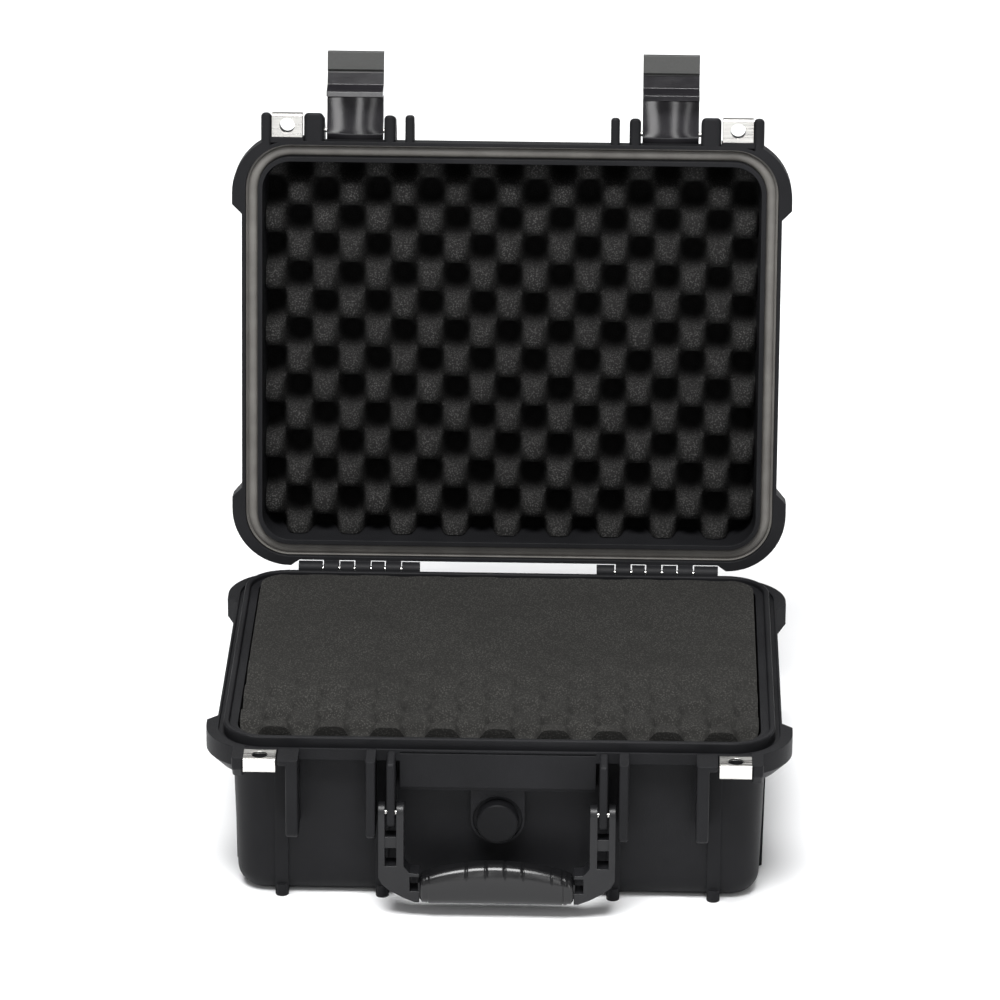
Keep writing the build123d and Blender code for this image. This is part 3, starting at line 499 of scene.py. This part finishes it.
def grip_section(x):
    """Outline of the grip at x: a rounded box, crowned along its length."""
    height = (grip_high[2] - grip_low[2]) - CROWN * (x / grip_half) ** 2
    near = min(abs(x - line) for line in GRIP_LINES)
    groove = GROOVE_DEPTH * max(0.0, 1 - near / GROOVE_HALF) ** 0.5
    shrink = 0.5 * smoothstep(abs(x) - COLLAR_STEP) + 1.6 * smoothstep((abs(x) - END_ROUND) / 2.0) ** 2
    centre_y = (grip_low[1] + grip_high[1]) / 2
    ring = []
    for k in range(GRIP_POINTS):
        a = 2 * math.pi * k / GRIP_POINTS
        c, s = math.cos(a), math.sin(a)
        power = 0.72 if s > 0 else 0.5
        inward = shrink + groove * (1 if abs(x) > COLLAR_FROM else smoothstep((s - 0.15) / 0.4))
        half_y = (grip_high[1] - grip_low[1]) / 2 - inward
        half_z = height / 2 - inward
        y = centre_y + half_y * math.copysign(abs(c) ** power, c)
        z = grip_low[2] + height / 2 + half_z * math.copysign(abs(s) ** power, s)
        ring.append((x, y, z))
    return ring


def grip_stations():
    """Where the grip has a section: evenly along it, across each groove and over each rounded end."""
    marks = {round(-grip_half + 2 * grip_half * k / 60, 3) for k in range(61)}
    for line in GRIP_LINES:
        marks |= {round(line + d, 3) for d in (-0.72, -0.5, -0.25, 0.0, 0.25, 0.5, 0.72)}
    ends = [COLLAR_STEP + d for d in (0, 0.5, 1.0)] + [END_ROUND + d for d in (0, 0.5, 1.0, 1.5, 1.8)]
    marks |= {round(side * mark, 3) for side in (-1, 1) for mark in ends}
    return sorted(marks)


points = [point for x in grip_stations() for point in grip_section(x)]
faces = sleeve_faces(len(points) // GRIP_POINTS, GRIP_POINTS, closed=False)
faces += [tuple(range(GRIP_POINTS - 1, -1, -1)), tuple(range(len(points) - GRIP_POINTS, len(points)))]
piece("handle_grip_ribbed", points, faces, "handle", GRIP, ("handle_grip",))

# ---- latch faces -----------------------------------------------------------------------------
# A latch is described shut, then swung straight out on its pin and carried back with the lid.
latch_joint = joints["link_right_swing"]
LATCH_X = latch_joint["pos_m"][0] * 1000
OUT = turn_about(SHUT @ Vector(latch_joint["pos_m"]), -math.radians(latch_joint["range_deg"][1]))
LINK_HALF = 17.0
LINK_THICK = (0.9, 0.3)  # how far the back of the face lies from its front, in y and z
DISH, DISH_OFF = 1.4, 2.8  # depth of the dish at the edges, and how far its middle is off the latch's
# (y, z) along the middle of the face, from the lever's end to the lid's
LINK_PATH = ((-137.2, 93.5), (-136.9, 97.0), (-136.4, 100.0), (-135.6, 103.2), (-134.6, 106.6),
             (-133.4, 110.2), (-132.5, 113.0), (-132.2, 115.4), (-132.5, 117.4), (-133.2, 119.2),
             (-133.6, 121.2))


def on_curve(path, t):
    """Catmull-Rom position along a path, t from 0 to 1."""
    u = t * (len(path) - 1)
    i = min(int(u), len(path) - 2)
    f = u - i
    p = [path[max(0, min(len(path) - 1, i + k))] for k in (-1, 0, 1, 2)]
    return [0.5 * (2 * b + (c - a) * f + (2 * a - 5 * b + 4 * c - d) * f ** 2
                   + (3 * b - a - 3 * c + d) * f ** 3)
            for a, b, c, d in zip(*p)]


def link_face(side, hand):
    """The smooth dished inner face of the link; the dish fades at its foot."""
    rows, columns = 40, 48
    front = []
    for j in range(rows + 1):
        y, z = on_curve(LINK_PATH, j / rows)
        fade = smoothstep((0.95 - j / rows) / 0.35)
        for k in range(columns + 1):
            x = LINK_HALF * (2 * k / columns - 1)
            front.append((side * LATCH_X + x, y + DISH * ((x + DISH_OFF * side) / LINK_HALF) ** 2 * fade, z))
    back = [(x, y - LINK_THICK[0], z - LINK_THICK[1]) for x, y, z in front]
    border = sheet_border(rows, columns)
    faces = sheet_faces(rows, columns, flip=True) + sheet_faces(rows, columns, first=len(front))
    faces += border_faces(border, [len(front) + i for i in border], flip=True)
    piece(f"latch_link_face_{hand}", front + back, faces, f"link_{hand}", LATCH,
          matrix=OPEN @ OUT)


link_face(-1, "left")
link_face(1, "right")

# ---- floor, light, camera --------------------------------------------------------------------
FLOOR_LEFT, FLOOR_RIGHT, FLOOR_FRONT, FLOOR_BACK = -14, 14, -9, 26
floor_mesh = bpy.data.meshes.new("floor")
floor_corners = [(FLOOR_LEFT, FLOOR_FRONT, 0), (FLOOR_RIGHT, FLOOR_FRONT, 0), (FLOOR_RIGHT, FLOOR_BACK, 0),
                 (FLOOR_LEFT, FLOOR_BACK, 0)]
floor_mesh.from_pydata(floor_corners, [], [(0, 1, 2, 3)])
floor = bpy.data.objects.new("floor", floor_mesh)
scene.collection.objects.link(floor)
t = Tree("floor_white")
white = t.mix(t.ramp(t.noise(3, 2), (0.3, 0.0), (0.7, 1.0)), (0.93, 0.935, 0.945), (0.945, 0.95, 0.958))
floor_mesh.materials.append(t.finish(white, 0.85))

# name, place, what it points at, size and power; the tall strips are seen as streaks in the dished latches
LIGHTS = (
    ("top", (-0.2, -1.1, 2.5), (0, 0.05, 0.15), (1.6, 1.1), 122),
    ("back", (0.1, 1.7, 1.9), (0.05, 1.3, 0), (2.2, 1.0), 32),
    ("right", (2.4, -1.3, 1.0), (0, 0, 0.2), (0.7, 1.8), 2),
    ("left", (-2.4, -1.6, 0.9), (0, 0, 0.2), (0.5, 1.8), 2),
    ("strip_middle", (-0.27, -3.7, 1.6), (0, 0, 0.35), (0.22, 3.2), 10),
    ("strip_right", (0.78, -3.6, 1.6), (0, 0, 0.35), (0.4, 3.2), 20),
    ("strip_left", (-0.87, -3.6, 1.6), (0, 0, 0.35), (0.16, 3.2), 4),
)
for name, place, target, size, power in LIGHTS:
    light = bpy.data.lights.new(name, "AREA")
    light.shape = "RECTANGLE"
    light.size, light.size_y = size
    light.energy = power
    lamp = bpy.data.objects.new(name, light)
    lamp.location = place
    lamp.rotation_euler = (Vector(target) - Vector(place)).to_track_quat("-Z", "Y").to_euler()
    scene.collection.objects.link(lamp)

world = bpy.data.worlds.new("studio")
world.use_nodes = True
world.node_tree.nodes["Background"].inputs["Color"].default_value = (1, 1, 1, 1)
world.node_tree.nodes["Background"].inputs["Strength"].default_value = 0.2
scene.world = world

ELEVATION, TURN, ROLL = math.radians(21.755), math.radians(-1.199), math.radians(-0.370)
DISTANCE, AIM = 3.5538, Vector((-0.0025, 0, 0.20279))
SENSOR_WIDTH, LENS = 36, 216.19
level = math.cos(ELEVATION)
forward = Vector((math.sin(TURN) * level, math.cos(TURN) * level, -math.sin(ELEVATION)))
right = Vector((math.cos(TURN), -math.sin(TURN), 0))
down = forward.cross(right)
rolled_right = math.cos(ROLL) * right + math.sin(ROLL) * down
rolled_down = math.cos(ROLL) * down - math.sin(ROLL) * right
camera_data = bpy.data.cameras.new("camera")
camera_data.sensor_width = SENSOR_WIDTH
camera_data.lens = LENS
camera = bpy.data.objects.new("camera", camera_data)
turn = Matrix((rolled_right, -rolled_down, -forward)).transposed().to_4x4()
camera.matrix_world = Matrix.Translation(AIM - forward * DISTANCE) @ turn
scene.collection.objects.link(camera)
scene.camera = camera
